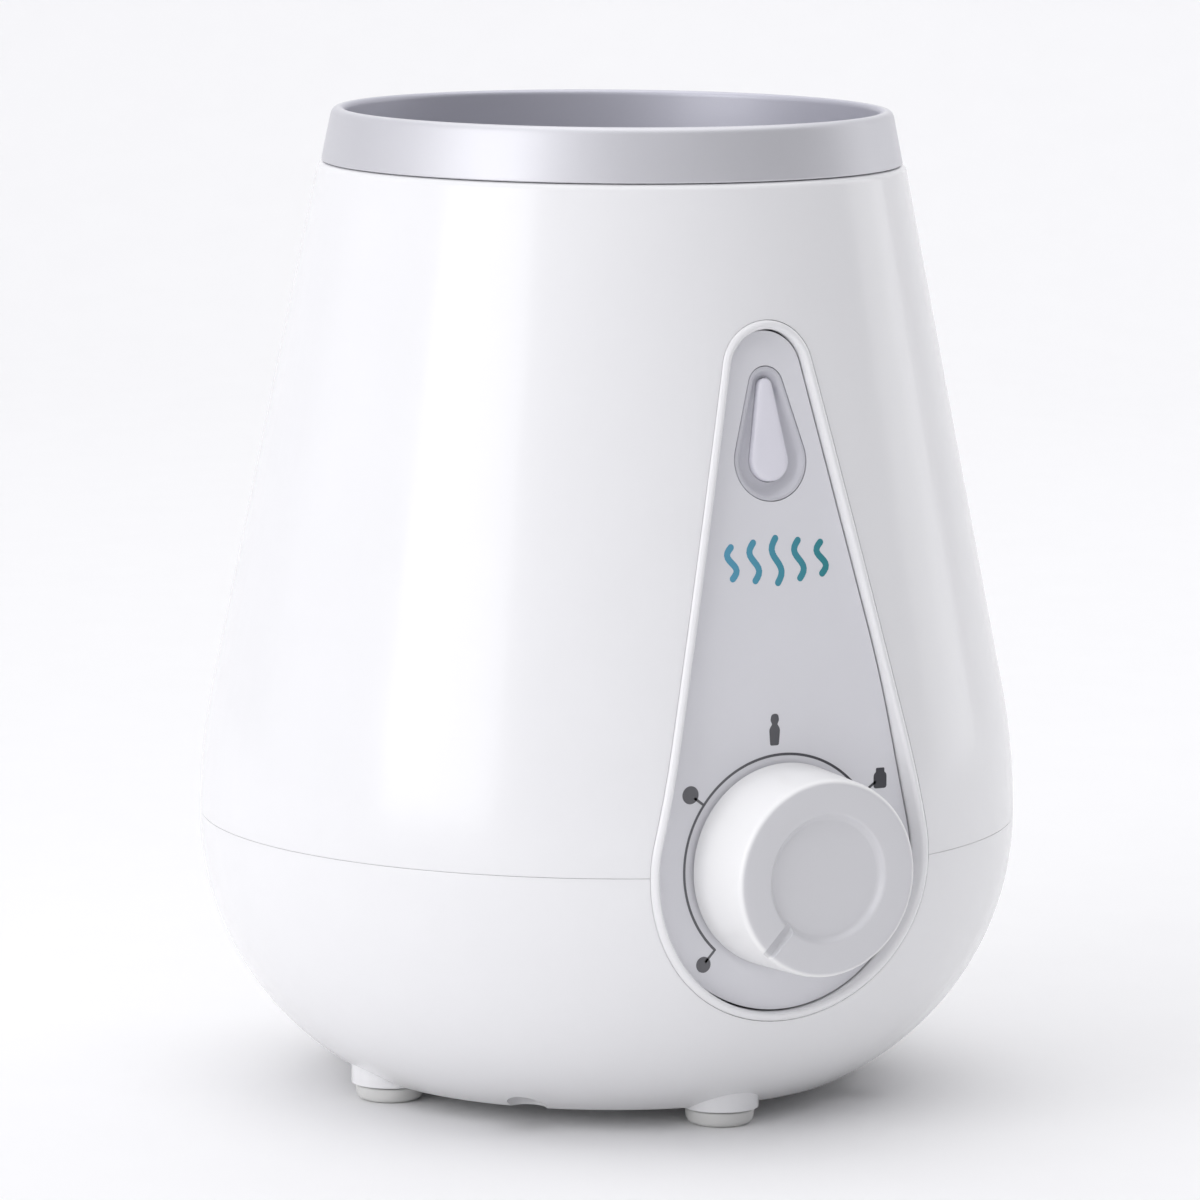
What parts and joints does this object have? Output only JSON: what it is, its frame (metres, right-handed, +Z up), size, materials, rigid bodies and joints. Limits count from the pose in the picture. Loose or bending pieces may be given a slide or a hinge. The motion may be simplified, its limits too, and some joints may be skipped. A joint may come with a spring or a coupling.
{
  "type": "bottle warmer",
  "caption": "Bottle warmer with a cone-shaped white housing, a silver mouth ring, a water tank, and a teardrop panel with a lamp and a turning thermostat knob.",
  "frame": {"origin": "middle of the object's footprint, on the surface that its feet stand on", "axes": "+Z up, -Y towards the control panel, +X to the right as seen from the panel"},
  "size_m": [0.13, 0.1368, 0.156],
  "materials": {
    "white_abs": "smooth gloss white ABS",
    "silver_lacquer": "fine satin silver lacquer",
    "panel_grey": "satin light grey",
    "bezel_grey": "satin mid grey",
    "frosted_lens": "frosted pale lilac lens",
    "foot_rubber": "translucent white soft rubber",
    "silicone": "matte silicone",
    "aluminium": "spun satin aluminium",
    "steel": "zinc plated steel",
    "brass": "plain brass",
    "copper": "bare copper",
    "bakelite": "dark brown moulding",
    "ceramic": "unglazed ceramic",
    "circuit_board": "green solder mask",
    "amber_led": "clear amber resin",
    "brown_wire": "brown insulation",
    "blue_wire": "blue insulation",
    "red_wire": "red insulation",
    "green_wire": "green and yellow insulation"
  },
  "bodies": {
    "housing": {"upper_housing": "white_abs", "lower_housing": "white_abs", "top_ring": "silver_lacquer", "tank_gasket": "silicone", "water_tank": "aluminium", "panel_frame": "white_abs", "control_panel": "panel_grey", "lamp_bezel": "bezel_grey", "lamp_lens": "frosted_lens", "lamp_holder": "white_abs", "lamp_board": "circuit_board", "lamp_led": "amber_led", "thermostat_body": "bakelite", "contact_leaf": "brass", "thermostat_tab_left": "brass", "thermostat_tab_right": "brass", "thermostat_bracket": "steel", "bush_nut": "brass", "bracket_screw_left": "steel", "bracket_screw_right": "steel", "heater_plate": "aluminium", "heating_element": "steel", "heater_bridge": "steel", "clamp_nut": "steel", "thermal_fuse": "ceramic", "fuse_clip": "steel", "sensor_bulb": "copper", "bulb_clip": "steel", "capillary_tube": "copper", "terminal_block": "bakelite", "terminal_screw_1": "steel", "terminal_screw_2": "steel", "terminal_screw_3": "steel", "live_wire": "brown_wire", "switched_wire": "red_wire", "fuse_wire": "red_wire", "neutral_wire": "blue_wire", "earth_wire": "green_wire", "lamp_left_wire": "white_abs", "lamp_right_wire": "white_abs", "cord_grommet": "foot_rubber", "foot_right": "foot_rubber", "foot_back": "foot_rubber", "foot_left": "foot_rubber", "foot_front": "foot_rubber", "housing_screw_1": "steel", "housing_screw_2": "steel", "housing_screw_3": "steel", "housing_screw_4": "steel"},
    "knob": {"control_knob": "white_abs", "knob_clip": "steel", "thermostat_shaft": "brass"},
    "push_pin": {"push_pin": "ceramic"}
  },
  "joints": [
    {"name": "knob_turn", "type": "hinge", "parent": "housing", "child": "knob", "pos_m": [0, -0.0545, 0.044], "axis": [0, 1, 0], "range_deg": [0, 210]},
    {"name": "pin_push", "type": "slide", "parent": "housing", "child": "push_pin", "axis": [0, 1, 0], "range_m": [0, 0.00065]}
  ],
  "couplings": [
    {"joint": "pin_push", "follows": "knob_turn", "m_per_rad": 0.0001637}
  ]
}
